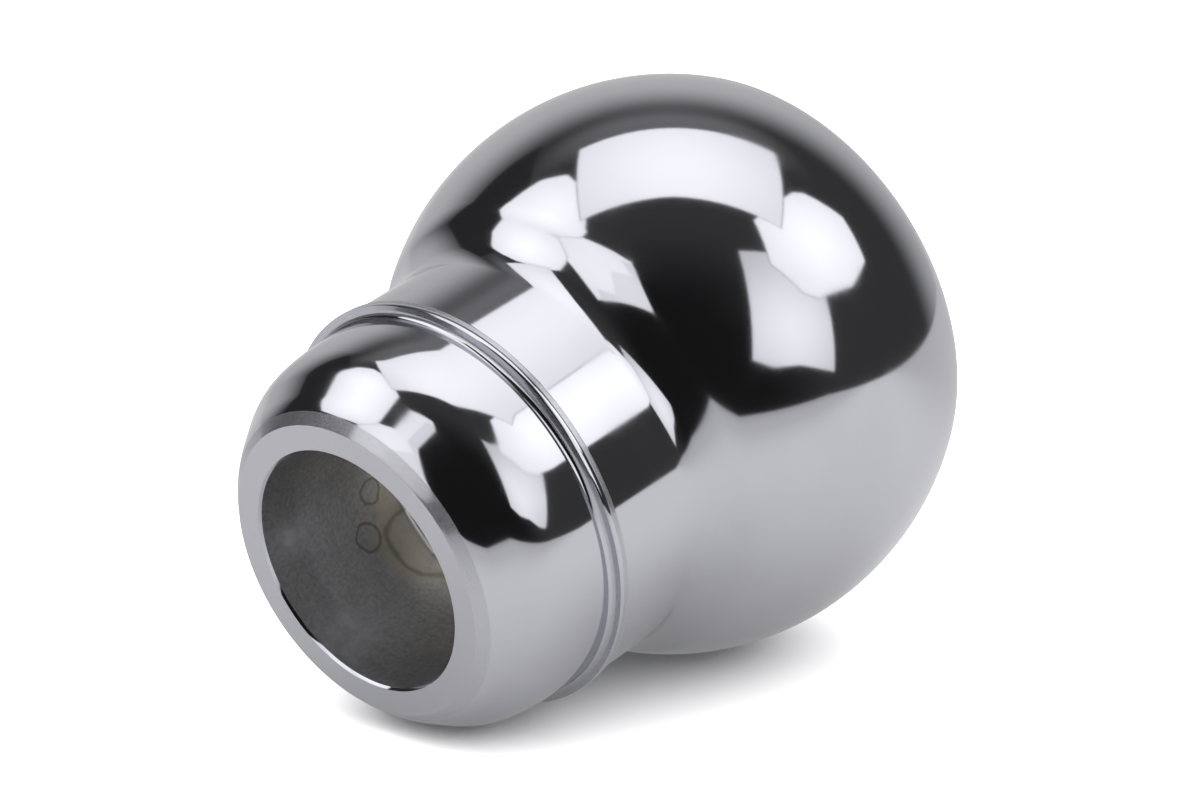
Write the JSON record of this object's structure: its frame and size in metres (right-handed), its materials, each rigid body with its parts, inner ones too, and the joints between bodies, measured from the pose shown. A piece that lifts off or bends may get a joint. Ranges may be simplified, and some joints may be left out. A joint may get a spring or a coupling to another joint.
{
  "type": "gear shift knob",
  "caption": "Polished steel gear shift knob: a ball with a flattened crown on a straight neck, a fine turned bead and a tapered collar, bored and tapped underneath for the lever.",
  "frame": {"origin": "centre of the collar's mouth, on the flat ring that the knob stands on", "axes": "+Z along the turning axis from the mouth up to the crown; X and Y are equal, the knob being round"},
  "size_m": [0.0508, 0.0508, 0.0569],
  "materials": {
    "polished_steel": "mirror polished stainless steel, satin turned at the mouth and plain machined in the socket"
  },
  "bodies": {
    "root": {"knob": "polished_steel"}
  },
  "joints": []
}
